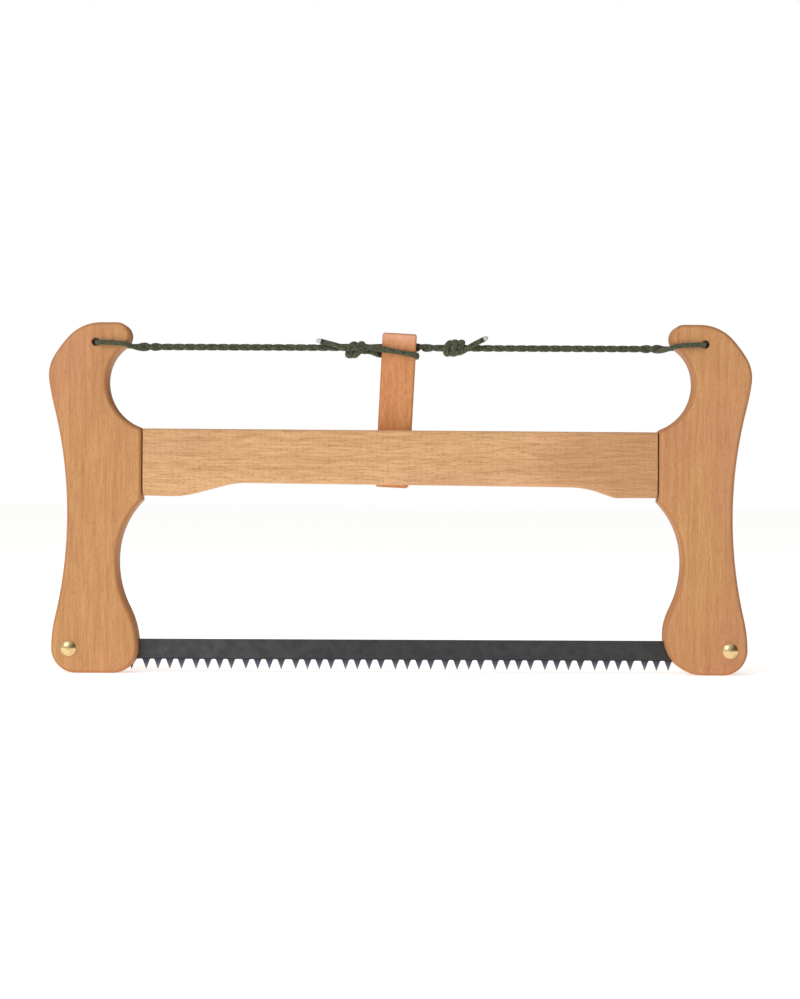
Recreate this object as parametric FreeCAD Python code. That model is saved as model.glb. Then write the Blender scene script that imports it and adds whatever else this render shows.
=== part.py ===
import FreeCAD, Part
import math
import os

# Bow saw, standing upright on its two feet. X runs along the saw, Y through its
# thickness (front is -Y) and Z up. All lengths are in millimetres.

V = FreeCAD.Vector
Z_AXIS = V(0, 0, 1)
Y_AXIS = V(0, 1, 0)
X_AXIS = V(1, 0, 0)

# ---- driving dimensions -------------------------------------------------------

saw_plane_y = -5.8          # the saw's middle plane, so that the origin is under the centre of its box

pin_spacing = 530.0         # blade hole to blade hole, a 21 inch blade
pin_x = pin_spacing / 2
pin_z = 19.8

handle_thickness = 22.0
handle_face = handle_thickness / 2
edge_round = 3.8            # roundover on the handles' edges

crossbar_thickness = 20.0
crossbar_face = crossbar_thickness / 2
crossbar_half = 206.3       # centre to end face
shoulder_gap = 1.2          # lets a handle rock on the end of the crossbar
shoulder_x = crossbar_half + shoulder_gap

# handle outline, from the foot round the outside to the shoulder: (radius, turn in degrees)
# of tangent arcs, where a turn to the left is positive
foot_flat_outer = 259.5
foot_corner = (20.0, 90.0)
lower_cheek = (107.0, 13.3)
back_hollow = (357.0, -27.5)
upper_cheek = (185.0, 6.4)
knuckle = (31.0, 39.4)
brow = (103.0, 9.9)
crown = (36.0, 48.5)
top_flat = 12.4
nose = (10.8, 144.4)
scoop_top = (33.0, -38.7)
scoop_bottom = (38.3, -85.0)
# and from the foot up the inside to the shoulder; the left (-1) foot is blunter than the right
foot_flat_inner = {-1: 230.0, 1: 243.6}
toe = {-1: (20.0, -90.0), 1: (31.0, -90.0)}
heel = {-1: (71.1, -27.0), 1: (46.9, -27.0)}
grip_bottom = (82.2, 34.6)
grip_top = (66.8, 37.2)
shoulder_trim = 0.8         # the shoulder is cut flat by this much after its edges are rounded

cord_hole_x = 244.2
cord_hole_z = 265.5
cord_hole_radius = 3.1
cord_hole_rim = 0.9

kerf_width = 2.0
kerf_height = 40.0

# crossbar outline, left end to right end: (x, z, corner radius)
crossbar_bottom = [
    (-crossbar_half, 142.6, 0.0),
    (-175.0, 141.7, 80.0),
    (-133.0, 153.0, 60.0),
    (149.0, 150.5, 74.0),
    (173.4, 142.0, 10.0),
    (crossbar_half, 142.1, 0.0),
]
crossbar_top_left = 196.4
crossbar_top_right = 195.0
top_edge_round = 3.0
bottom_edge_round = 6.3

# rounded stub tenon on each end of the crossbar, turning in a mortise of the handle
tenon_radius = 15.0
tenon_thickness = 8.0
tenon_z = 169.5
tenon_clearance = 0.1

blade_thickness = 0.7
blade_half = 275.0
blade_top = 27.1
tooth_root = 10.9
tooth_tip = 3.0
tooth_base = 6.1
tooth_tip_width = 0.3
tooth_set = 0.3             # sideways bend of a tip, alternately to each side
tooth_stub = 1.6            # the part of a tooth that stays in the blade's plane
tooth_pitch = 9.5
teeth_in_group = 4
group_pitch = 40.2
group_start_x = -3.1
teeth_end = 220.0
gullet_round = 1.2
blade_corner = 3.0
open_pin_clearance = 0.6    # radial, at the right pin, where the linkage is opened

barrel_radius = 3.0
running_clearance = 0.05    # radial
barrel_length = 20.0
barrel_bore_radius = 2.0
barrel_bore_depth = 16.0
shank_length = 15.0
head_radius = 6.1
head_height = 3.0
head_rim = 0.5
head_gap = 0.05
slot_width = 1.2
slot_depth = 1.3

toggle_width = 27.7
toggle_thickness = 9.0
toggle_above = 11.4         # from the cord's axis to the top
toggle_below = 114.2
toggle_top_corner = 2.0
toggle_bottom_corner = 3.2
toggle_edge_round = 1.8
toggle_tilt = 2.8           # degrees, top to the right
toggle_lean = 8.6           # degrees, lower end to the back, against the crossbar
toggle_x = -1.3

cord_z = 262.4              # axis of the twisted cord
strand_radius = 2.0
span_radius = 2.8           # outer radius of the twisted pair
bundle_radius = 3.1         # outer radius of the strands behind the toggle
tail_radius = 2.1
eye_end_x = 203.0           # where the two strands from a handle meet
strand_spread = 2.1         # half the distance between the strands' axes there
span_outer_x = 201.6        # where they become one twisted pair
joint_gap = 0.3             # between pieces of the cord that turn and pieces that don't
left_knot = (-36.6, 260.8)  # x, z of the centre
left_knot_size = (15.6, 13.2)
right_knot = (42.6, 262.5)
right_knot_size = (17.8, 12.6)
tip_length = 4.6
tip_round = 1.8


# ---- outline helpers, in the plane of the saw ---------------------------------

def arc_chain(start, heading, steps):
    """Tangent arcs (radius, turn) or straights (0, length) from start, as (x, z) triples."""
    pieces = []
    x, z = start
    angle = math.radians(heading)
    for radius, amount in steps:
        if radius == 0:
            end = (x + amount * math.cos(angle), z + amount * math.sin(angle))
            pieces.append(((x, z), None, end))
        else:
            turn = math.radians(amount)
            side = 1 if amount > 0 else -1
            cx = x - side * radius * math.sin(angle)
            cz = z + side * radius * math.cos(angle)
            points = []
            for share in (0.5, 1.0):
                a = angle + turn * share
                points.append((cx + side * radius * math.sin(a), cz - side * radius * math.cos(a)))
            pieces.append(((x, z), points[0], points[1]))
            end = points[1]
            angle += turn
        x, z = end
    return pieces, (x, z), math.degrees(angle)


def edges_of(pieces, y, side=1):
    """Edges in the plane at y. side is -1 for the mirror image in x."""
    edges = []
    for start, middle, end in pieces:
        a, b = [V(side * p[0], y, p[1]) for p in (start, end)]
        if middle is None:
            edges.append(Part.LineSegment(a, b).toShape())
        else:
            edges.append(Part.Arc(a, V(side * middle[0], y, middle[1]), b).toShape())
    return edges


def rounded_polygon(corners):
    """Pieces of a closed polygon whose (x, z, radius) corners are rounded by tangent arcs."""
    cuts = []
    count = len(corners)
    for i, (x, z, radius) in enumerate(corners):
        here = V(x, 0, z)
        before = V(corners[i - 1][0], 0, corners[i - 1][1]) - here
        after = V(corners[(i + 1) % count][0], 0, corners[(i + 1) % count][1]) - here
        before.normalize()
        after.normalize()
        if radius == 0:
            cuts.append((here, None, here))
            continue
        half = before.getAngle(after) / 2
        back = radius / math.tan(half)
        bisector = before + after
        bisector.normalize()
        middle = here + bisector * (radius / math.sin(half) - radius)
        cuts.append((here + before * back, middle, here + after * back))
    pieces = []
    for i, (start, middle, end) in enumerate(cuts):
        if middle is not None:
            pieces.append(((start.x, start.z), (middle.x, middle.z), (end.x, end.z)))
        following = cuts[(i + 1) % count][0]
        pieces.append(((end.x, end.z), None, (following.x, following.z)))
    return pieces


def plate(pieces, half_thickness, side=1):
    """The outline made into a plate that is centred on the saw's middle plane."""
    face = Part.Face(Part.Wire(edges_of(pieces, -half_thickness, side)))
    return face.extrude(V(0, 2 * half_thickness, 0))


def face_edges(shape, half_thickness, wanted):
    """The outline's edges on both faces of a plate whose middle (x, z) is wanted."""
    found = []
    for edge in shape.Edges:
        box = edge.BoundBox
        on_face = box.YLength < 1e-6 and abs(abs(box.YMin) - half_thickness) < 1e-6
        if on_face and wanted(edge.CenterOfMass.x, edge.CenterOfMass.z):
            found.append(edge)
    return found


def rod(x, z, y_from, y_to, radius):
    """A cylinder along Y."""
    return Part.makeCylinder(radius, y_to - y_from, V(x, y_from, z), Y_AXIS)


# ---- wooden frame --------------------------------------------------------------

def handle(side):
    outside = [foot_corner, lower_cheek, back_hollow, upper_cheek, knuckle, brow, crown,
               (0, top_flat), nose, scoop_top, scoop_bottom]
    up, upper_end, upper_heading = arc_chain((foot_flat_outer, 0), 0, outside)
    inside, lower_end, lower_heading = arc_chain((foot_flat_inner[side], 0), 180,
                                                 [toe[side], heel[side], grip_bottom, grip_top])
    blank_x = shoulder_x - shoulder_trim
    upper_tip = (upper_end[0] - blank_x) / (1 + math.sin(math.radians(upper_heading)))
    lower_tip = (lower_end[0] - blank_x) / (1 - math.sin(math.radians(lower_heading)))
    tip, shoulder_top, _ = arc_chain(upper_end, upper_heading, [(upper_tip, 270 - upper_heading)])
    chin, shoulder_bottom, _ = arc_chain(lower_end, lower_heading, [(lower_tip, 90 - lower_heading)])
    pieces = up + tip + inside + chin
    pieces.append((shoulder_top, None, shoulder_bottom))
    pieces.append(((foot_flat_inner[side], 0), None, (foot_flat_outer, 0)))
    edges = Part.sortEdges(edges_of(pieces, -handle_face, side))[0]
    blank = Part.Face(Part.Wire(edges)).extrude(V(0, handle_thickness, 0))
    body = blank.makeFillet(edge_round, face_edges(blank, handle_face, lambda x, z: True))

    reach = 60.0
    trim = Part.makeBox(shoulder_trim + 1, handle_thickness + 2, reach,
                        V(shoulder_x - shoulder_trim - 1, -handle_face - 1, tenon_z - reach / 2))
    if side < 0:
        trim = trim.mirror(V(0, 0, 0), X_AXIS)
    body = body.cut(trim)

    kerf = Part.makeBox(100, kerf_width, kerf_height + 1, V(0, -kerf_width / 2, -1))
    kerf.translate(V(side * 245 - 50, 0, 0))
    body = body.cut(kerf)
    body = body.cut(rod(side * pin_x, pin_z, -handle_face - 1, handle_face + 1,
                        barrel_radius + running_clearance))
    mortise = rod(side * crossbar_half, tenon_z, -tenon_thickness / 2 - tenon_clearance,
                  tenon_thickness / 2 + tenon_clearance, tenon_radius + tenon_clearance)
    body = body.cut(mortise)
    hole = rod(side * cord_hole_x, cord_hole_z, -handle_face - 1, handle_face + 1, cord_hole_radius)
    body = body.cut(hole)
    rims = []
    for edge in body.Edges:
        box = edge.BoundBox
        at_face = abs(abs(box.YMin) - handle_face) < 1e-6 and box.YLength < 1e-6
        if at_face and abs(box.XLength - 2 * cord_hole_radius) < 0.01 and box.ZMin > cord_hole_z - 4:
            rims.append(edge)
    return body.makeFillet(cord_hole_rim, rims)


def crossbar():
    corners = crossbar_bottom + [(crossbar_half, crossbar_top_right, 0.0),
                                 (-crossbar_half, crossbar_top_left, 0.0)]
    bar = plate(rounded_polygon(corners), crossbar_face)
    top_z = (crossbar_top_left + crossbar_top_right) / 2
    bar = bar.makeFillet(top_edge_round, face_edges(bar, crossbar_face, lambda x, z: z > top_z - 2))
    bottom = face_edges(bar, crossbar_face, lambda x, z: z < tenon_z - 10 and abs(x) < crossbar_half - 1)
    bar = bar.makeFillet(bottom_edge_round, bottom)
    for side in (-1, 1):
        tenon = rod(side * crossbar_half, tenon_z, -tenon_thickness / 2, tenon_thickness / 2, tenon_radius)
        bar = bar.fuse(tenon)
    return bar.removeSplitter()


# ---- blade and its binding posts ------------------------------------------------

def tooth_positions():
    groups = int(blade_half / group_pitch) + 1
    tips = []
    for group in range(-groups, groups + 1):
        for number in range(teeth_in_group):
            x = group_start_x + group * group_pitch + number * tooth_pitch
            if abs(x) < teeth_end:
                tips.append(x)
    return tips


def rectangle(x, y, z, width, depth):
    """A horizontal rectangular wire centred on x, y."""
    corners = [V(x - width / 2, y - depth / 2, z), V(x + width / 2, y - depth / 2, z),
               V(x + width / 2, y + depth / 2, z), V(x - width / 2, y + depth / 2, z)]
    return Part.makePolygon(corners + corners[:1])


def blade():
    slope = (tooth_base - tooth_tip_width) / 2 / (tooth_root - tooth_tip)
    stub_z = tooth_root - tooth_stub
    stub_half = tooth_base / 2 - slope * tooth_stub
    corners = [(-blade_half, tooth_root, blade_corner)]
    teeth = []
    for number, x in enumerate(tooth_positions()):
        corners.append((x - tooth_base / 2, tooth_root, gullet_round))
        corners.append((x - stub_half, stub_z, 0.0))
        corners.append((x + stub_half, stub_z, 0.0))
        corners.append((x + tooth_base / 2, tooth_root, gullet_round))
        bend = tooth_set if number % 2 else -tooth_set
        root = rectangle(x, 0, stub_z, 2 * stub_half, blade_thickness)
        tip = rectangle(x, bend, tooth_tip, tooth_tip_width, blade_thickness)
        teeth.append(Part.makeLoft([root, tip], True, True))
    corners.append((blade_half, tooth_root, blade_corner))
    corners.append((blade_half, blade_top, blade_corner))
    corners.append((-blade_half, blade_top, blade_corner))
    steel = plate(rounded_polygon(corners), blade_thickness / 2).multiFuse(teeth)
    hole_radii = {-1: barrel_radius + running_clearance, 1: barrel_radius + open_pin_clearance}
    for side, radius in hole_radii.items():
        steel = steel.cut(rod(side * pin_x, pin_z, -2, 2, radius))
    return steel


def dome(x, facing):
    """A domed head that stands on a handle's face. facing is -1 for the front, 1 for the back."""
    crown_height = head_height - head_rim
    ball = (head_radius ** 2 + crown_height ** 2) / (2 * crown_height)
    share = math.asin(head_radius / ball) / 2
    profile = Part.Wire([
        Part.makeLine(V(0, 0, 0), V(head_radius, 0, 0)),
        Part.makeLine(V(head_radius, 0, 0), V(head_radius, head_rim, 0)),
        Part.Arc(V(head_radius, head_rim, 0),
                 V(ball * math.sin(share), head_height - ball + ball * math.cos(share), 0),
                 V(0, head_height, 0)).toShape(),
        Part.makeLine(V(0, head_height, 0), V(0, 0, 0)),
    ])
    head = Part.Face(profile).revolve(V(0, 0, 0), Y_AXIS, 360)
    if facing < 0:
        head.rotate(V(0, 0, 0), X_AXIS, 180)
    head.translate(V(x, facing * (handle_face + head_gap), pin_z))
    return head


def barrel(side):
    """The front half of a binding post: smooth domed head and a tube with the thread."""
    x = side * pin_x
    tube = rod(x, pin_z, -handle_face - head_gap, barrel_length - handle_face, barrel_radius)
    bore = rod(x, pin_z, barrel_length - handle_face - barrel_bore_depth,
               barrel_length - handle_face + 1, barrel_bore_radius)
    return dome(x, -1).fuse(tube).cut(bore).removeSplitter()


def screw(side):
    """The back half of a binding post: slotted domed head and a shank in the tube's thread."""
    x = side * pin_x
    shank = rod(x, pin_z, handle_face - shank_length, handle_face + head_gap,
                barrel_bore_radius - running_clearance)
    slot = Part.makeBox(2 * head_radius + 2, slot_depth + 1, slot_width,
                        V(x - head_radius - 1, handle_face + head_height - slot_depth,
                          pin_z - slot_width / 2))
    return dome(x, 1).fuse(shank).cut(slot).removeSplitter()


# ---- toggle ----------------------------------------------------------------------

def toggle():
    half = toggle_width / 2
    corners = [(-half, -toggle_below, toggle_bottom_corner), (half, -toggle_below, toggle_bottom_corner),
               (half, toggle_above, toggle_top_corner), (-half, toggle_above, toggle_top_corner)]
    stick = plate(rounded_polygon(corners), toggle_thickness / 2)
    stick = stick.makeFillet(toggle_edge_round, face_edges(stick, toggle_thickness / 2,
                                                           lambda x, z: True))
    stick.translate(V(0, toggle_thickness / 2, 0))
    stick.rotate(V(0, 0, 0), Y_AXIS, toggle_tilt)
    stick.rotate(V(0, 0, 0), X_AXIS, toggle_lean)
    stick.translate(V(toggle_x, 0, cord_z))
    return stick


# ---- cord --------------------------------------------------------------------------

def cord_tube(name, route, radius, radii=None):
    """A tube along straight runs joined by tangent arcs. radii gives an arc's own radius by index."""
    points = [V(*p) for p in route]
    path = []
    start = points[0]
    printed = []
    for i in range(1, len(points) - 1):
        into = points[i] - points[i - 1]
        out = points[i + 1] - points[i]
        half_turn = into.getAngle(out) / 2
        shorter = min(into.Length, out.Length)
        bend = 0.45 * shorter / math.tan(half_turn)
        if radii and i in radii:
            bend = radii[i]
        back = bend * math.tan(half_turn)
        into.normalize()
        out.normalize()
        enter = points[i] - into * back
        leave = points[i] + out * back
        inward = out - into
        inward.normalize()
        middle = points[i] + inward * (bend / math.cos(half_turn) - bend)
        path.append(Part.LineSegment(start, enter).toShape())
        path.append(Part.Arc(enter, middle, leave).toShape())
        start = leave
        printed.append(round(bend, 1))
    path.append(Part.LineSegment(start, points[-1]).toShape())
    spine = Part.Wire(path)
    section = Part.Wire([Part.makeCircle(radius, points[0], points[1] - points[0])])
    tube = spine.makePipeShell([section], True, False)
    expected = math.pi * radius ** 2 * spine.Length
    print("%s: length %.1f, arc radii %s, volume ratio %.4f"
          % (name, spine.Length, printed, tube.Volume / expected))
    return tube


def eye_route(side):
    """From the twist over the front of a handle, through its hole and back behind it."""
    face_y = handle_face + strand_radius + 0.3
    outer = side * eye_end_x
    edge_x = side * 220.5
    hole = side * cord_hole_x
    edge_z = cord_z + 1.6
    return [(outer, -strand_spread, cord_z), (edge_x, -face_y, edge_z),
            (hole, -face_y, cord_hole_z), (hole, face_y, cord_hole_z),
            (edge_x, face_y, edge_z), (outer, strand_spread, cord_z)]


eye_bends = {1: 8.0, 2: 4.2, 3: 4.2, 4: 8.0}    # round the handle's edges and the hole's rims
front_strand_bends = {2: 4.3, 3: 4.3}           # round the toggle's right edge
back_bundle_route = [(-26.8, 1.1, 262.0), (-21.0, 5.6, 261.9), (-15.7, 13.4, 262.0),
                     (13.2, 13.4, 262.3), (18.8, 5.6, 262.5), (32.6, 0.7, 262.7)]
front_strand_route = [(-28.2, -4.2, 264.0), (-19.0, -3.2, 262.3), (15.0, -1.9, 257.3),
                      (14.9, 12.8, 256.4), (-15.9, 13.2, 256.0), (-21.2, 5.6, 256.2)]
left_tail_route = [(-44.9, -5.5, 262.0), (-54.0, -6.0, 264.5), (-63.4, -5.0, 266.9)]
right_tail_route = [(52.2, -5.6, 261.0), (58.0, -6.2, 264.3), (65.9, -5.4, 268.7)]


def knot(centre, size):
    """The outer shape of an overhand knot: a short barrel with well rounded ends."""
    length, height = size
    x, z = centre
    body = Part.makeCylinder(height / 2, length, V(x - length / 2, 0, z), X_AXIS)
    return body.makeFillet(height * 0.32, [e for e in body.Edges if e.BoundBox.XLength < 1e-6])


def span(side, inner_x):
    outer = side * span_outer_x
    start, end = sorted((outer, inner_x))
    return Part.makeCylinder(span_radius, end - start, V(start, 0, cord_z), X_AXIS)


def tail_tip(route):
    """The melted end of a tail: a blunt bead."""
    last = V(*route[-1])
    along = last - V(*route[-2])
    bead = Part.makeCylinder(tail_radius, tip_length, last, along)
    far = [e for e in bead.Edges
           if abs((e.CenterOfMass - last).Length - tip_length) < 0.01 and len(e.Vertexes) == 1]
    return bead.makeFillet(tip_round, far)


# ---- the pieces ----------------------------------------------------------------------

parts = {
    "left_handle": handle(-1),
    "right_handle": handle(1),
    "crossbar": crossbar(),
    "blade": blade(),
    "left_barrel_nut": barrel(-1),
    "right_barrel_nut": barrel(1),
    "left_binding_screw": screw(-1),
    "right_binding_screw": screw(1),
    "toggle": toggle(),
    "cord_left_eye": cord_tube("cord_left_eye", eye_route(-1), strand_radius, eye_bends),
    "cord_right_eye": cord_tube("cord_right_eye", eye_route(1), strand_radius, eye_bends),
    "cord_left_span": span(-1, left_knot[0] - left_knot_size[0] / 2 - joint_gap),
    "cord_right_span": span(1, right_knot[0] + right_knot_size[0] / 2 + joint_gap),
    "cord_left_knot": knot(left_knot, left_knot_size),
    "cord_right_knot": knot(right_knot, right_knot_size),
    "cord_back_bundle": cord_tube("cord_back_bundle", back_bundle_route, bundle_radius),
    "cord_front_strand": cord_tube("cord_front_strand", front_strand_route, strand_radius,
                                   front_strand_bends),
    "cord_left_tail": cord_tube("cord_left_tail", left_tail_route, tail_radius),
    "cord_right_tail": cord_tube("cord_right_tail", right_tail_route, tail_radius),
    "cord_left_tip": tail_tip(left_tail_route),
    "cord_right_tip": tail_tip(right_tail_route),
}

os.makedirs("parts", exist_ok=True)
for name, shape in parts.items():
    shape.translate(V(0, saw_plane_y, 0))
    shape.exportStep("parts/%s.step" % name)
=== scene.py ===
"""Looks of the bow saw: materials, the twisted cord with its knots, floor, light and camera.

Lengths are in metres. X runs along the saw, -Y is the front and Z is up. In the cord's
routes Y is counted from the saw's middle plane.
"""
import math

import bpy
import numpy as np
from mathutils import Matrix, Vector


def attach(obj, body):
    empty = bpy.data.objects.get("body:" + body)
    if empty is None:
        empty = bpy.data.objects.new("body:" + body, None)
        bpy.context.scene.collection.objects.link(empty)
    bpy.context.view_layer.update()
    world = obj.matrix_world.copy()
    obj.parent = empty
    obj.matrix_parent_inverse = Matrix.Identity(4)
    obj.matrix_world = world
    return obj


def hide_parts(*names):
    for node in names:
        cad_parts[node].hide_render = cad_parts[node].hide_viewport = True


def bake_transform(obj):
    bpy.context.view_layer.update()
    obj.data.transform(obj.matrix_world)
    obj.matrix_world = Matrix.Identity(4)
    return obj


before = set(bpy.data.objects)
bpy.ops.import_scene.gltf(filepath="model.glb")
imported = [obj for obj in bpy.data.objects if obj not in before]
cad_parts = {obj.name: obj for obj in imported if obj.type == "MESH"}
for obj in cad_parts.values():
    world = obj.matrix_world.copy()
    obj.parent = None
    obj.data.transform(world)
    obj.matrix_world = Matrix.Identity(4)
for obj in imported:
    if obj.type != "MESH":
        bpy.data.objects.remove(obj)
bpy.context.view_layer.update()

SAW_PLANE_Y = -0.0058
CORD_Z = 0.2624                 # axis of the twisted pairs of cord
STRAND_RADIUS = 0.0020          # a strand of the cord that lies on its own
TAIL_RADIUS = 0.0021
PAIR_OFFSET = 0.00132           # from a twisted pair's axis to the middle of each strand
PAIR_WIDTH = 0.00206            # half width of a strand that is pressed flat in a pair
PAIR_DEPTH = 0.00142            # half depth of it, along the line to the pair's axis
KNOT_WIDTH = 0.0029             # half width and half depth of a strand in a knot
KNOT_DEPTH = 0.0020
EYE_END_X = 0.2030              # where the strands of a twisted pair begin, inside the eye
SPAN_OUTER_X = 0.2016           # where they begin to wind round each other
LEFT_SPAN_INNER_X = -0.0447     # where each twisted pair ends, at its knot
RIGHT_SPAN_INNER_X = 0.0518
LEFT_KNOT = (0.0000, 0.2608)    # Y and Z of each knot's axis, in a route's terms
RIGHT_KNOT = (0.0000, 0.2624)
TOGGLE_MIDDLE = (-0.0010, SAW_PLANE_Y + 0.0052)     # X and Y, where the cord goes round it
TOGGLE_HALF_SIZE = (0.0139, 0.0075)                 # along X and Y, to the middle of the cord
# where the sheath stops on each tail
SHEATH_ENDS = ((-0.0630, SAW_PLANE_Y - 0.0050, 0.2668), (0.0655, SAW_PLANE_Y - 0.0054, 0.2685))
RING_STEP = 0.0005              # length of a strand between two rings of its mesh


# ---- node trees ---------------------------------------------------------------

def put(tree, socket, value):
    """Link a node's output to the socket, or set a plain value on it."""
    if isinstance(value, bpy.types.NodeSocket):
        tree.links.new(value, socket)
    else:
        socket.default_value = value


def add(tree, kind, inputs=(), **settings):
    """A new node. inputs is {socket name: value or another node's output}."""
    node = tree.nodes.new("ShaderNode" + kind)
    for key, value in settings.items():
        setattr(node, key, value)
    for key, value in dict(inputs).items():
        put(tree, node.inputs[key], value)
    return node


def calc(tree, operation, first, second=0.0, third=0.0):
    node = add(tree, "Math", operation=operation)
    for socket, value in zip(node.inputs, (first, second, third)):
        put(tree, socket, value)
    return node.outputs[0]


def span_to(tree, value, low, high, to_low=0.0, to_high=1.0):
    """value from low..high mapped smoothly to to_low..to_high, and held at the ends."""
    node = add(tree, "MapRange", {"Value": value, "From Min": low, "From Max": high,
                                  "To Min": to_low, "To Max": to_high},
               interpolation_type="SMOOTHSTEP")
    return node.outputs[0]


def tint(tree, share, first, second):
    """The first colour, with a share of the second."""
    node = add(tree, "Mix", data_type="RGBA")
    put(tree, node.inputs[0], share)
    put(tree, node.inputs[6], first)
    put(tree, node.inputs[7], second)
    return node.outputs[2]


def stretch(tree, vector, scale, shift=(0, 0, 0)):
    return add(tree, "Mapping", {"Vector": vector, "Scale": scale, "Location": shift}).outputs[0]


def noise(tree, vector, scale=1.0, detail=2.0, roughness=0.5, distortion=0.0):
    node = add(tree, "TexNoise", {"Vector": vector, "Scale": scale, "Detail": detail,
                                  "Roughness": roughness, "Distortion": distortion})
    return node.outputs["Fac"]


def surface(name, build):
    """A material. build(tree) returns the Principled BSDF's inputs."""
    material = bpy.data.materials.new(name)
    material.use_nodes = True
    tree = material.node_tree
    tree.nodes.clear()
    shader = add(tree, "BsdfPrincipled", build(tree))
    add(tree, "OutputMaterial", {"Surface": shader.outputs[0]})
    return material


def bump(tree, height, distance, strength):
    return add(tree, "Bump", {"Height": height, "Distance": distance,
                              "Strength": strength}).outputs[0]


def rgb(red, green, blue):
    """A linear colour from sRGB levels of 0 to 255."""
    levels = []
    for level in (red, green, blue):
        share = level / 255
        levels.append(share / 12.92 if share <= 0.04045 else ((share + 0.055) / 1.055) ** 2.4)
    return (*levels, 1.0)


# ---- materials -----------------------------------------------------------------

def wood(name, grain, tones, seed, streaks=0.38, flecks_seen=0.34, waves=0.001, marks=(), edges=0.0):
    """Oiled beech. grain is the axis along the fibres, 0 for X or 2 for Z.

    tones are its pale, middle and deep colours, and seed places the grain. streaks and
    flecks_seen are the shares of dark lines and pores, and waves is how far the grain bends.
    marks are (centre, half sizes, colour, share): a colour laid over a place on the wood. edges is the
    share of the deep tone painted as shade on rounded edges and sides, more the further they turn from
    the front.
    """
    pale, mid, deep = tones

    def build(tree):
        coords = add(tree, "TexCoord")
        place = coords.outputs["Object"]
        bend = noise(tree, stretch(tree, place, (16, 16, 16), (seed, 0, 0)), detail=1)
        bend = calc(tree, "MULTIPLY", calc(tree, "SUBTRACT", bend, 0.5), waves * 2)
        bent = add(tree, "VectorMath", {0: place, 1: bend}, operation="ADD").outputs[0]
        shift = (seed * 1.7, seed * 0.9, seed * 2.3)

        def fibres(across, along):
            scale = [across, across, across]
            scale[grain] = along
            return stretch(tree, bent, scale, shift)

        broad = noise(tree, fibres(30, 8), detail=3, distortion=0.3)
        rosy = noise(tree, fibres(17, 6), detail=2)
        rings = noise(tree, fibres(260, 11), detail=3, roughness=0.55, distortion=0.4)
        lines = noise(tree, fibres(800, 48), detail=3, roughness=0.65)
        cells = add(tree, "TexVoronoi", {"Vector": fibres(1700, 230), "Scale": 1.0})
        chosen = add(tree, "SeparateColor", {"Color": cells.outputs["Color"]}).outputs[0]
        inside = span_to(tree, cells.outputs["Distance"], 0.46, 0.16)
        flecks = calc(tree, "MULTIPLY", inside, calc(tree, "LESS_THAN", chosen, 0.45))

        colour = tint(tree, span_to(tree, broad, 0.32, 0.68), mid, pale)
        pink = (min(1.0, mid[0] * 1.04), mid[1] * 0.97, mid[2] * 1.18, 1.0)
        colour = tint(tree, span_to(tree, rosy, 0.45, 0.7, 0.0, 0.7), colour, pink)
        colour = tint(tree, span_to(tree, rings, 0.4, 0.72, 0.0, 0.28), colour, deep)
        colour = tint(tree, span_to(tree, lines, 0.36, 0.74, 0.0, streaks), colour, deep)
        dark = [level * 0.5 for level in deep[:3]] + [1.0]
        colour = tint(tree, calc(tree, "MULTIPLY", flecks, flecks_seen), colour, dark)
        for centre, half, stain, share in marks:
            scale = [1 / size for size in half]
            local = stretch(tree, place, scale, [-c * s for c, s in zip(centre, scale)])
            wobble = noise(tree, local, 2.4, 3)
            away = add(tree, "VectorMath", {0: local}, operation="LENGTH").outputs["Value"]
            edge = calc(tree, "ADD", away, calc(tree, "MULTIPLY_ADD", wobble, 0.7, -0.35))
            colour = tint(tree, span_to(tree, edge, 1.0, 0.35, 0.0, share), colour, stain)
        # painted shade: the deep tone laid on rounded edges and sides, more the further they turn from
        # the front
        normal = add(tree, "SeparateXYZ", {"Vector": coords.outputs["Normal"]})
        facing = calc(tree, "ABSOLUTE", normal.outputs["Y"])
        colour = tint(tree, span_to(tree, facing, 0.98, 0.84, 0.0, edges), colour, deep)
        relief = calc(tree, "MULTIPLY_ADD", lines, 0.5, calc(tree, "MULTIPLY", flecks, -0.6))
        return {"Base Color": colour,
                "Roughness": span_to(tree, rings, 0.3, 0.7, 0.52, 0.60),
                "Specular IOR Level": 0.22,
                "Normal": bump(tree, relief, 0.0001, 0.4)}
    return surface(name, build)


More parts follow.
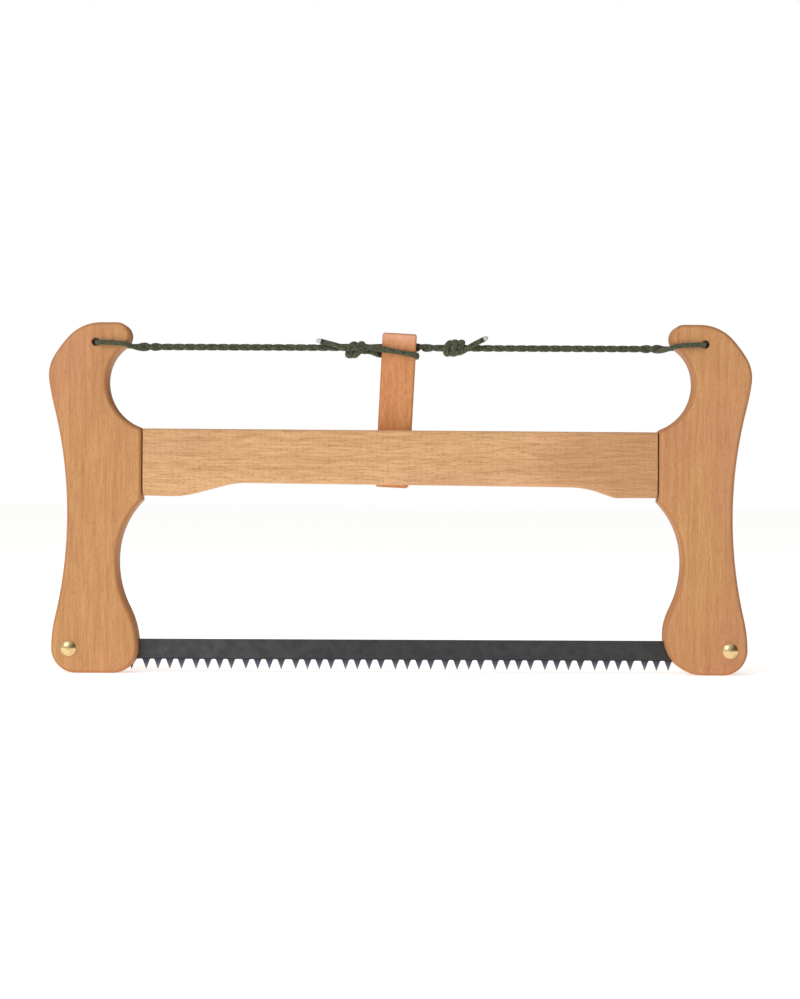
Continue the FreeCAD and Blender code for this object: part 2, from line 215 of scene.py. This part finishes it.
def blade_steel():
    """Dark scaled steel with ground teeth, with painted shade from the middle to the right.

    The teeth are bluer at the root and paler at the tips.
    """
    ground_top = 0.0107         # height where the grinding ends

    def build(tree):
        place = add(tree, "TexCoord").outputs["Object"]
        parts = add(tree, "SeparateXYZ", {"Vector": place})
        x, z = parts.outputs["X"], parts.outputs["Z"]
        cloud = noise(tree, stretch(tree, place, (120, 120, 160)), detail=5, roughness=0.62)
        speck = noise(tree, stretch(tree, place, (1300, 1300, 1500)), detail=2)
        rolled = noise(tree, stretch(tree, place, (9, 600, 600)), detail=2)
        colour = tint(tree, span_to(tree, cloud, 0.3, 0.7), rgb(57, 57, 59), rgb(79, 79, 79))
        # painted shade: the steel is darkened from the middle to the right
        colour = tint(tree, span_to(tree, x, -0.19, -0.02, 0.0, 0.42), colour, rgb(20, 20, 22))
        colour = tint(tree, span_to(tree, speck, 0.45, 0.8, 0.0, 0.4), colour, rgb(96, 96, 98))
        tooth = tint(tree, span_to(tree, z, 0.0035, 0.0095), rgb(120, 126, 134), rgb(70, 75, 90))
        ground = span_to(tree, z, ground_top + 0.0005, ground_top - 0.0005)
        colour = tint(tree, ground, colour, tooth)
        root = calc(tree, "MULTIPLY", span_to(tree, z, ground_top - 0.0009, ground_top - 0.0001),
                    span_to(tree, z, ground_top + 0.0015, ground_top + 0.0005))
        colour = tint(tree, calc(tree, "MULTIPLY", root, 0.75), colour, rgb(34, 37, 52))
        rough = span_to(tree, cloud, 0.25, 0.75, 0.42, 0.56)
        relief = calc(tree, "MULTIPLY_ADD", speck, 0.6, rolled)
        return {"Base Color": colour, "Metallic": 0.35, "Roughness": rough,
                "Normal": bump(tree, relief, 0.00003, 0.6)}
    return surface("blade_steel_finish", build)


def brass():
    """Polished brass, a little dulled by hand."""
    def build(tree):
        place = add(tree, "TexCoord").outputs["Object"]
        smear = noise(tree, stretch(tree, place, (170, 170, 170)), detail=2)
        fine = noise(tree, stretch(tree, place, (2600, 900, 2600)), detail=3)
        colour = tint(tree, span_to(tree, smear, 0.3, 0.75), rgb(228, 206, 154), rgb(214, 186, 130))
        return {"Base Color": colour, "Metallic": 1.0,
                "Roughness": span_to(tree, smear, 0.25, 0.8, 0.22, 0.28),
                "Normal": bump(tree, fine, 0.000004, 0.4)}
    return surface("brass_finish", build)


def braid():
    """Braided nylon sheath. U is the length along the strand in metres, V goes once round it."""
    carriers = 8.0              # yarns each way round the strand
    pitch = 0.0105              # length in which a yarn goes once round

    def build(tree):
        uv = add(tree, "SeparateXYZ", {"Vector": add(tree, "TexCoord").outputs["UV"]})
        along = calc(tree, "MULTIPLY", uv.outputs["X"], carriers / pitch)
        around = calc(tree, "MULTIPLY", uv.outputs["Y"], carriers)
        rising = calc(tree, "ADD", along, around)
        falling = calc(tree, "SUBTRACT", along, around)

        def crest(value):
            """1 in the middle of a yarn and 0 at its edges."""
            edge = calc(tree, "ABSOLUTE", calc(tree, "MULTIPLY_ADD",
                                               calc(tree, "FRACT", value), 2.0, -1.0))
            return calc(tree, "SUBTRACT", 1.0, calc(tree, "POWER", edge, 2.5))

        rows = calc(tree, "ADD", calc(tree, "FLOOR", rising), calc(tree, "FLOOR", falling))
        over = calc(tree, "PINGPONG", rows, 1.0)
        height = add(tree, "Mix", data_type="FLOAT")
        put(tree, height.inputs[0], over)
        put(tree, height.inputs[2], crest(rising))
        put(tree, height.inputs[3], crest(falling))
        height = height.outputs[0]
        place = add(tree, "TexCoord").outputs["Object"]
        worn = noise(tree, stretch(tree, place, (260, 260, 260)), detail=3)
        fuzz = noise(tree, stretch(tree, place, (3200, 3200, 3200)), detail=2)
        # painted shade: each yarn darkens to near black at its edges, in the grooves of the weave
        colour = tint(tree, span_to(tree, height, 0.05, 0.75), rgb(12, 13, 9), rgb(84, 88, 62))
        colour = tint(tree, span_to(tree, worn, 0.35, 0.7, 0.0, 0.45), colour, rgb(62, 66, 42))
        # painted highlight: paler where the falling yarns lie over the rising ones
        colour = tint(tree, calc(tree, "MULTIPLY", over, 0.3), colour, rgb(116, 120, 96))
        patches = noise(tree, stretch(tree, place, (800, 800, 800)), detail=2)
        colour = tint(tree, span_to(tree, patches, 0.5, 0.68, 0.0, 0.7), colour, rgb(108, 110, 80))
        colour = tint(tree, span_to(tree, patches, 0.5, 0.32, 0.0, 0.85), colour, rgb(20, 21, 13))
        for end in SHEATH_ENDS:
            away = add(tree, "VectorMath", {0: place, 1: end}, operation="DISTANCE").outputs["Value"]
            colour = tint(tree, span_to(tree, away, 0.0036, 0.0016, 0.0, 0.8), colour, rgb(22, 22, 18))
        # painted shade: darker in the creases where strands touch, found by ambient occlusion
        crease_shade = add(tree, "AmbientOcclusion", {"Distance": 0.0035}, samples=8).outputs["AO"]
        colour = tint(tree, span_to(tree, crease_shade, 0.75, 0.2, 0.0, 0.85), colour, rgb(14, 15, 10))
        relief = calc(tree, "MULTIPLY_ADD", fuzz, 0.25, height)
        return {"Base Color": colour, "Roughness": 0.78, "Specular IOR Level": 0.3,
                "Sheen Weight": 0.25, "Sheen Roughness": 0.4,
                "Normal": bump(tree, relief, 0.00028, 0.9)}
    return surface("cord_braid", build)


def melted_nylon():
    """The white core where an end was melted, with a scorched ring where the sheath stops."""
    def build(tree):
        coords = add(tree, "TexCoord")
        along = add(tree, "SeparateXYZ", {"Vector": coords.outputs["UV"]}).outputs["X"]
        lumps = noise(tree, stretch(tree, coords.outputs["Object"], (900, 900, 900)), detail=3)
        edge = calc(tree, "ADD", along, calc(tree, "MULTIPLY_ADD", lumps, 0.0012, -0.0006))
        colour = tint(tree, span_to(tree, lumps, 0.35, 0.7), rgb(212, 209, 202), rgb(184, 180, 172))
        colour = tint(tree, span_to(tree, edge, 0.0011, 0.0005), colour, rgb(34, 34, 34))
        return {"Base Color": colour, "Roughness": 0.36, "Specular IOR Level": 0.5,
                "Subsurface Weight": 0.15, "Subsurface Radius": (0.002, 0.002, 0.002),
                "Normal": bump(tree, lumps, 0.0002, 0.6)}
    return surface("melted_end", build)


def paint(node, material):
    """Give a CAD node this material alone."""
    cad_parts[node].data.materials.clear()
    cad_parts[node].data.materials.append(material)


handle_tones = (rgb(214, 160, 108), rgb(206, 151, 102), rgb(170, 110, 66))
crossbar_tones = (rgb(236, 188, 138), rgb(228, 180, 130), rgb(170, 120, 76))
toggle_tones = (rgb(228, 164, 107), rgb(216, 152, 97), rgb(172, 100, 56))
# a small dark knot in the wood at the right handle's top edge, and the reddish streak under it
right_handle_marks = [
    ((0.2226, SAW_PLANE_Y - 0.009, 0.2806), (0.0030, 0.008, 0.0016), rgb(70, 40, 26), 0.85),
    ((0.2222, SAW_PLANE_Y - 0.010, 0.2690), (0.0012, 0.010, 0.0120), rgb(178, 92, 62), 0.45),
]
# the crossbar's darker right end, and the toggle's pinker top
crossbar_marks = [((0.2100, SAW_PLANE_Y, 0.1700), (0.130, 0.060, 0.060), rgb(172, 119, 75), 0.44)]
toggle_marks = [((0.0, SAW_PLANE_Y, 0.2800), (0.040, 0.040, 0.0190), rgb(236, 177, 145), 0.85)]

# edges= gives painted shade on the rounded edges and sides of the handles and toggle
paint("left_handle", wood("left_handle_wood", 2, handle_tones, seed=1.0, edges=0.5))
paint("right_handle", wood("right_handle_wood", 2, handle_tones, seed=5.0,
                           marks=right_handle_marks, edges=0.5))
paint("crossbar", wood("crossbar_wood_finish", 0, crossbar_tones, seed=9.0, streaks=0.55,
                       flecks_seen=0.5, waves=0.004, marks=crossbar_marks))
paint("toggle", wood("toggle_wood_finish", 2, toggle_tones, seed=3.0, streaks=0.4,
                     marks=toggle_marks, edges=0.4))
paint("blade", blade_steel())
brass_finish = brass()
for side in ("left", "right"):
    paint(side + "_barrel_nut", brass_finish)
    paint(side + "_binding_screw", brass_finish)
cord_finish = braid()
tip_finish = melted_nylon()


# ---- strands of cord -------------------------------------------------------------

def spline_line(route):
    """Points along the smooth line that has the route's points as its control points."""
    curve = bpy.data.curves.new("route", "CURVE")
    curve.dimensions = "3D"
    curve.resolution_u = 32
    spline = curve.splines.new("NURBS")
    spline.points.add(len(route) - 1)
    for point, (x, y, z) in zip(spline.points, route):
        point.co = (x, y + SAW_PLANE_Y, z, 1)
    spline.order_u = 3
    spline.use_endpoint_u = True
    holder = bpy.data.objects.new("route", curve)
    line = bpy.data.meshes.new_from_object(holder)
    points = np.array([vertex.co for vertex in line.vertices])
    bpy.data.objects.remove(holder)
    bpy.data.curves.remove(curve)
    bpy.data.meshes.remove(line)
    return points


def distances(line):
    """How far along the line each of its points is."""
    return np.concatenate([[0], np.cumsum(np.linalg.norm(np.diff(line, axis=0), axis=1))])


def evenly(line):
    """The same line with its points spaced evenly."""
    fewest = 8
    far = distances(line)
    wanted = np.linspace(0, far[-1], max(fewest, round(far[-1] / RING_STEP)))
    return np.stack([np.interp(wanted, far, line[:, i]) for i in range(3)], axis=1)


def unit(vectors):
    return vectors / np.linalg.norm(vectors, axis=-1, keepdims=True)


def headings(line):
    """The direction of the line at each of its points."""
    return unit(np.gradient(line, axis=0))


def steady_sides(line):
    """A direction square to the line at each point, carried along it without twist."""
    sides = [np.array((0.1, 0.3, 1.0))]         # upward, and along no strand
    for direction in headings(line):
        side = sides[-1] - direction * (sides[-1] @ direction)
        sides.append(side / np.linalg.norm(side))
    return np.array(sides[1:])


def tube(name, line, sides, depth, width):
    """A closed tube. depth is its half size along sides, and width its half size across them."""
    around = 28                 # corners of a ring
    ahead = headings(line)
    sides = unit(sides - ahead * np.sum(sides * ahead, axis=1)[:, None])
    across = np.cross(ahead, sides)
    depth = np.broadcast_to(depth, len(line))
    width = np.broadcast_to(width, len(line))
    angles = np.linspace(0, 2 * math.pi, around, endpoint=False)
    rings = (line[:, None] + (depth[:, None] * np.cos(angles))[..., None] * sides[:, None]
             + (width[:, None] * np.sin(angles))[..., None] * across[:, None])
    count = len(line)
    faces = []
    for i in range(count - 1):
        for j in range(around):
            k = (j + 1) % around
            faces.append((i * around + j, i * around + k, (i + 1) * around + k, (i + 1) * around + j))
    faces.append(tuple(range(around))[::-1])
    faces.append(tuple((count - 1) * around + j for j in range(around)))
    mesh = bpy.data.meshes.new(name)
    mesh.from_pydata(rings.reshape(-1, 3).tolist(), [], faces)
    far = distances(line)
    layer = mesh.uv_layers.new(name="UVMap")
    for polygon in mesh.polygons[:-2]:
        i, j = divmod(polygon.index, around)
        corners = ((i, j), (i, j + 1), (i + 1, j + 1), (i + 1, j))
        for loop, (ring, spoke) in zip(polygon.loop_indices, corners):
            layer.data[loop].uv = (far[ring], spoke / around)
    mesh.polygons.foreach_set("use_smooth", [True] * (len(faces) - 2) + [False] * 2)
    mesh.materials.append(cord_finish)
    piece = bpy.data.objects.new(name, mesh)
    bpy.context.scene.collection.objects.link(piece)
    return piece


def single_strand(name, route, radius):
    """A round strand on its own along a route."""
    line = evenly(spline_line(route))
    return tube(name, line, steady_sides(line), radius, radius), line


def paired_strand(name, axis, degrees, offsets, width=PAIR_WIDTH, depth=PAIR_DEPTH):
    """A strand that winds round an axis line: degrees and offsets give its place round it.

    0 degrees is in front of the axis and 90 above it, for an axis that runs to the right.
    """
    ahead = headings(axis)
    front = unit(np.cross(ahead, (0, 0, 1)))
    up = np.cross(front, ahead)
    turn = np.radians(degrees)[:, None]
    outward = np.cos(turn) * front + np.sin(turn) * up
    line = axis + outward * np.broadcast_to(offsets, len(axis))[:, None]
    return tube(name, line, outward, depth, width), line


# ---- the eyes through the handles ---------------------------------------------------

def eye_route(side):
    """Over the front of a handle, through its hole and back behind it, crossing where they meet."""
    points = [(0.2022, 0.0019, 0.2624), (0.2052, 0.0012, 0.2608), (0.2090, -0.0034, 0.2606),
              (0.2130, -0.0088, 0.2613), (0.2205, -0.0138, 0.2637), (0.2300, -0.0137, 0.2645),
              (0.2410, -0.0134, 0.2649), (0.2435, -0.0108, 0.2648), (0.2435, 0.0108, 0.2648),
              (0.2410, 0.0134, 0.2649), (0.2300, 0.0137, 0.2646), (0.2205, 0.0138, 0.2640),
              (0.2130, 0.0088, 0.2634), (0.2090, 0.0034, 0.2641), (0.2052, -0.0012, 0.2640),
              (0.2022, -0.0019, 0.2624)]
    return [(side * x, y, z) for x, y, z in points]


for side, name in ((-1, "left"), (1, "right")):
    eye, line = single_strand("eye_strand_" + name, eye_route(side), STRAND_RADIUS)
    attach(eye, name + "_handle")
    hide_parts("cord_" + name + "_eye")


# ---- the twisted pairs between the handles and the knots ------------------------------

def span_strands(name, side, inner_x, turns):
    """Two strands in two halves each, winding round each other: the outer half from the eye, the inner
    one to the knot.
    """
    eye_apart = 0.0019          # from the axis to each strand, where they leave the eye
    closing = 0.008             # length over which they close up
    outer = side * SPAN_OUTER_X
    middle = (outer + inner_x) / 2
    total = abs(inner_x - outer)
    for half, start, end, body in (("outer", side * EYE_END_X, middle, name + "_handle"),
                                   ("inner", middle, inner_x, "windlass")):
        axis = evenly(np.array([(start, SAW_PLANE_Y, CORD_Z), (end, SAW_PLANE_Y, CORD_Z)]))
        inward = np.clip(side * (outer - axis[:, 0]), 0, None)
        apart = np.interp(inward, (0, closing), (eye_apart, PAIR_OFFSET))
        widths = np.interp(inward, (0, closing), (STRAND_RADIUS, PAIR_WIDTH))
        depths = np.interp(inward, (0, closing), (STRAND_RADIUS, PAIR_DEPTH))
        for strand in (0, 1):
            degrees = strand * 180 - 360 * turns * inward / total
            piece, line = paired_strand(f"{name}_span_{half}_strand_{strand + 1}", axis, degrees,
                                        apart, widths, depths)
            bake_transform(piece)
            if half == "outer" and strand == 0:
                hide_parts("cord_" + name + "_span")


span_strands("left", -1, LEFT_SPAN_INNER_X, turns=8.75)
span_strands("right", 1, RIGHT_SPAN_INNER_X, turns=8.25)


# ---- the strands between the spans, with the two knots --------------------------------

windlass_route = [(-0.0447, 0.0000, 0.2624), (-0.0350, 0.0002, 0.2622), (-0.0268, 0.0011, 0.2622),
                  (-0.0210, 0.0056, 0.2624), (-0.0157, 0.0134, 0.2632), (0.0132, 0.0134, 0.2640),
                  (0.0188, 0.0056, 0.2630), (0.0326, 0.0007, 0.2625), (0.0430, 0.0000, 0.2624),
                  (0.0518, 0.0000, 0.2624)]
windlass_axis = evenly(spline_line(windlass_route))
axis_x = windlass_axis[:, 0]
through_degrees = np.interp(axis_x, (LEFT_SPAN_INNER_X, -0.0270, 0.0120, RIGHT_SPAN_INNER_X),
                            (90, -265, -265, 450))
pair_apart = np.interp(axis_x, (-0.0300, -0.0200, 0.0080, 0.0160, 0.0300),
                       (PAIR_OFFSET, 0.0022, 0.0022, 0.0021, PAIR_OFFSET))
left_part = axis_x < 0.0390         # the working strand stops inside the right knot
right_part = axis_x > 0.0200        # the core starts between the toggle and that knot
core_apart = np.interp(axis_x, (0.0200, 0.0360), (0.0, PAIR_OFFSET))


def windlass_strand(name, part, degrees, offsets, *stands_for):
    """A strand of the pair that turns with the toggle, along one part of its axis."""
    piece, line = paired_strand(name, windlass_axis[part], degrees[part], offsets[part])
    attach(piece, "windlass")
    if stands_for:
        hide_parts(*stands_for)


windlass_strand("through_strand", slice(None), through_degrees, pair_apart, "cord_back_bundle")
windlass_strand("left_working_strand", left_part, through_degrees + 180, pair_apart)
windlass_strand("right_core_strand", right_part, through_degrees + 180, core_apart)


def round_knot(centre, places):
    """Route points of a knot from (x, angle, radius) about its axis. Angle 0 is the front, 90 the top."""
    y0, z0 = centre
    points = []
    for x, degrees, radius in places:
        turn = math.radians(degrees)
        points.append((x, y0 - radius * math.cos(turn), z0 + radius * math.sin(turn)))
    return points


def knot_sides(line, centre):
    """Directions away from a knot's axis."""
    y0, z0 = centre
    away = line - np.array([0, SAW_PLANE_Y + y0, z0])
    away[:, 0] = 0
    return unit(away)


def toggle_sides(line):
    """Directions away from the nearest face of the toggle."""
    away = (line - np.array([*TOGGLE_MIDDLE, 0])) / np.array([*TOGGLE_HALF_SIZE, 1])
    away[:, 2] = 0
    squareness = 5              # odd, and high enough for the larger part to win
    return unit(away ** squareness)


def near(line, middle_x, reach):
    """1 within reach of middle_x, falling to 0 over a short way past it."""
    fade = 0.004
    return np.clip(1 - (np.abs(line[:, 0] - middle_x) - reach) / fade, 0, 1)


def pressed_strand(name, route, shapes):
    """A strand with flattened parts, round elsewhere.

    shapes(line) gives the parts as (share, sides, half width, half depth) along the line.
    """
    line = evenly(spline_line(route))
    sides = np.tile((0.0, -1.0, 0.2), (len(line), 1))       # forward, where it is round
    widths = np.full(len(line), TAIL_RADIUS)
    depths = np.full(len(line), TAIL_RADIUS)
    for share, direction, width, depth in shapes(line):
        sides = unit(sides * (1 - share)[:, None] + direction * share[:, None])
        widths = widths * (1 - share) + width * share
        depths = depths * (1 - share) + depth * share
    return tube(name, line, sides, depths, widths), line


def front_shapes(line):
    """Pressed on the toggle, widest at its edges, and pressed in the left knot."""
    widths = np.interp(np.abs(line[:, 0]), (0.0060, 0.0130), (0.0020, 0.0026))
    return [(near(line, TOGGLE_MIDDLE[0], 0.0165), toggle_sides(line), widths, 0.0014),
            (near(line, -0.0366, 0.0085), knot_sides(line, LEFT_KNOT), KNOT_WIDTH, KNOT_DEPTH)]


def right_knot_shapes(line):
    """Pressed all through the right knot, and narrower on its left."""
    widths = np.interp(line[:, 0], (0.0375, 0.0420), (0.0024, 0.0030))
    return [(near(line, 0.0428, 0.0120), knot_sides(line, RIGHT_KNOT), widths, KNOT_DEPTH)]


left_knot_places = [
    (-0.0290, 25, 0.0044), (-0.0330, -8, 0.0050), (-0.0360, -48, 0.0053), (-0.0374, -95, 0.0053),
    (-0.0375, -140, 0.0050), (-0.0373, -185, 0.0048), (-0.0372, -230, 0.0050), (-0.0373, -272, 0.0052),
    (-0.0388, -312, 0.0050), (-0.0406, -350, 0.0049), (-0.0419, -395, 0.0053), (-0.0420, -440, 0.0054),
    (-0.0390, -485, 0.0055), (-0.0345, -525, 0.0054), (-0.0323, -570, 0.0051), (-0.0322, -615, 0.0052),
    (-0.0312, -655, 0.0056), (-0.0312, -690, 0.0065), (-0.0350, -710, 0.0072), (-0.0403, -708, 0.0070)]
right_knot_places = [
    (0.0360, 150, 0.0020), (0.0400, 110, 0.0040), (0.0404, 65, 0.0053), (0.0380, 30, 0.0056),
    (0.0362, -10, 0.0054), (0.0364, -50, 0.0056), (0.0378, -95, 0.0054), (0.0406, -150, 0.0050),
    (0.0430, -200, 0.0048), (0.0438, -250, 0.0053), (0.0438, -295, 0.0059), (0.0436, -340, 0.0057),
    (0.0422, -380, 0.0046), (0.0416, -425, 0.0055), (0.0432, -470, 0.0052), (0.0466, -520, 0.0047),
    (0.0488, -565, 0.0048), (0.0492, -610, 0.0052), (0.0490, -655, 0.0057), (0.0487, -700, 0.0054),
    (0.0478, -745, 0.0038), (0.0464, -790, 0.0030)]

front_route = [(-0.0350, 0.0008, 0.2606), (-0.0290, 0.0012, 0.2602), (-0.0240, 0.0026, 0.2596),
               (-0.0208, 0.0062, 0.2582), (-0.0161, 0.0130, 0.2580), (-0.0020, 0.0128, 0.2580),
               (0.0115, 0.0128, 0.2566), (0.0139, 0.0100, 0.2563), (0.0138, -0.0004, 0.2562),
               (0.0118, -0.0018, 0.2566), (0.0020, -0.0020, 0.2584), (-0.0110, -0.0024, 0.2606),
               (-0.0190, -0.0034, 0.2618), (-0.0250, -0.0042, 0.2626)]
left_tail_route = [(-0.0460, -0.0064, 0.2622), (-0.0540, -0.0060, 0.2645), (-0.0634, -0.0050, 0.2669)]
right_tail_route = [(0.0390, -0.0004, 0.2592), (0.0450, -0.0036, 0.2580), (0.0496, -0.0060, 0.2588),
                    (0.0544, -0.0064, 0.2624), (0.0600, -0.0060, 0.2658), (0.0659, -0.0054, 0.2687)]


def melted_tip(name, line):
    """A blunt bead on the end of a tail, with a swollen rim."""
    length = 0.0050
    overlap = 0.0002            # of the bead and the tail
    rim = 0.3                   # share of the length before the end rounds off
    rings = 18
    ahead = unit(line[-1] - line[-4])
    shares = np.linspace(0, 1, rings)
    bead = line[-1] + ahead * (shares * length - overlap)[:, None]
    rounding = np.clip(shares - rim, 0, None) / (1.01 - rim)
    radii = TAIL_RADIUS * np.where(shares < rim, 1.03 + 0.05 * np.sin(shares * 12),
                                   np.sqrt(np.clip(1 - rounding ** 2.2, 0, 1)))
    piece = tube(name, bead, steady_sides(bead), radii, radii)
    piece.data.materials[0] = tip_finish
    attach(piece, "windlass")
    return piece


front, line = pressed_strand("front_strand", front_route + round_knot(LEFT_KNOT, left_knot_places)
                             + left_tail_route, front_shapes)
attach(front, "windlass")
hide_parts("cord_front_strand", "cord_left_knot", "cord_left_tail")
left_tip = melted_tip("left_melted_tip", line)
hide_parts("cord_left_tip")

right_knot, line = pressed_strand("right_knot_strand", round_knot(RIGHT_KNOT, right_knot_places),
                                  right_knot_shapes)
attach(right_knot, "windlass")
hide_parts("cord_right_knot")

right_tail, line = single_strand("right_tail_strand", right_tail_route, TAIL_RADIUS)
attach(right_tail, "windlass")
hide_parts("cord_right_tail")
right_tip = melted_tip("right_melted_tip", line)
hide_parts("cord_right_tip")


# ---- floor, light and camera ----------------------------------------------------------

def floor():
    """A plain pale floor, wide enough to reach the horizon from every side."""
    half = 40.0
    mesh = bpy.data.meshes.new("floor")
    mesh.from_pydata([(-half, -half, 0), (half, -half, 0), (half, half, 0), (-half, half, 0)],
                     [], [(0, 1, 2, 3)])
    mesh.materials.append(surface("floor_white", lambda tree: {
        "Base Color": rgb(250, 250, 249), "Roughness": 0.9, "Specular IOR Level": 0.1,
        "Emission Color": (1, 1, 1, 1), "Emission Strength": 0.55}))
    plane = bpy.data.objects.new("floor", mesh)
    bpy.context.scene.collection.objects.link(plane)


def sky():
    """White to the eye. As a light it is bright up to the left and dark to the right."""
    world = bpy.data.worlds.new("studio")
    world.use_nodes = True
    tree = world.node_tree
    tree.nodes.clear()
    heading = add(tree, "TexCoord").outputs["Generated"]
    brightest = (-0.52, -0.38, 0.76)
    share = add(tree, "VectorMath", {0: heading, 1: brightest}, operation="DOT_PRODUCT")
    rising = span_to(tree, share.outputs["Value"], 0.05, 0.95, 0.10, 0.76)
    light = add(tree, "Background", {"Color": (1.0, 0.99, 0.975, 1), "Strength": rising})
    seen = add(tree, "Background", {"Color": (1, 1, 1, 1), "Strength": 1.0})
    eye = add(tree, "LightPath").outputs["Is Camera Ray"]
    both = add(tree, "MixShader", {0: eye, 1: light.outputs[0], 2: seen.outputs[0]})
    add(tree, "OutputWorld", {"Surface": both.outputs[0]})
    bpy.context.scene.world = world


def area_light(name, place, target, size, power, colour=(1, 1, 1)):
    """A soft rectangular light that faces the target."""
    data = bpy.data.lights.new(name, "AREA")
    data.shape = "RECTANGLE"
    data.size, data.size_y = size
    data.energy = power
    data.color = colour
    lamp = bpy.data.objects.new(name, data)
    lamp.location = place
    lamp.rotation_euler = (Vector(target) - Vector(place)).to_track_quat("-Z", "Y").to_euler()
    bpy.context.scene.collection.objects.link(lamp)


def camera():
    """Level, on the saw's centre line, facing its front."""
    distance = 1.450            # from the saw's middle plane
    face_distance = 1.438       # from the front faces
    field = 0.640               # width seen at the front faces
    sensor = 36.0
    roll = math.radians(0.26)
    data = bpy.data.cameras.new("camera")
    data.sensor_fit = "HORIZONTAL"
    data.sensor_width = sensor
    data.lens = sensor * face_distance / field
    seen_from = bpy.data.objects.new("camera", data)
    seen_from.location = (0, SAW_PLANE_Y - distance, 0.1402)
    seen_from.rotation_euler = (math.pi / 2, -roll, 0)
    bpy.context.scene.collection.objects.link(seen_from)
    bpy.context.scene.camera = seen_from


floor()
sky()
area_light("key", (-1.5, -1.9, 1.9), (0, 0, 0.13), (1.9, 1.9), 26, (1, 0.985, 0.96))
area_light("back", (-0.9, 1.9, 1.6), (0, 0, 0.13), (1.6, 1.2), 6)
camera()
bpy.context.scene.view_settings.view_transform = "Standard"
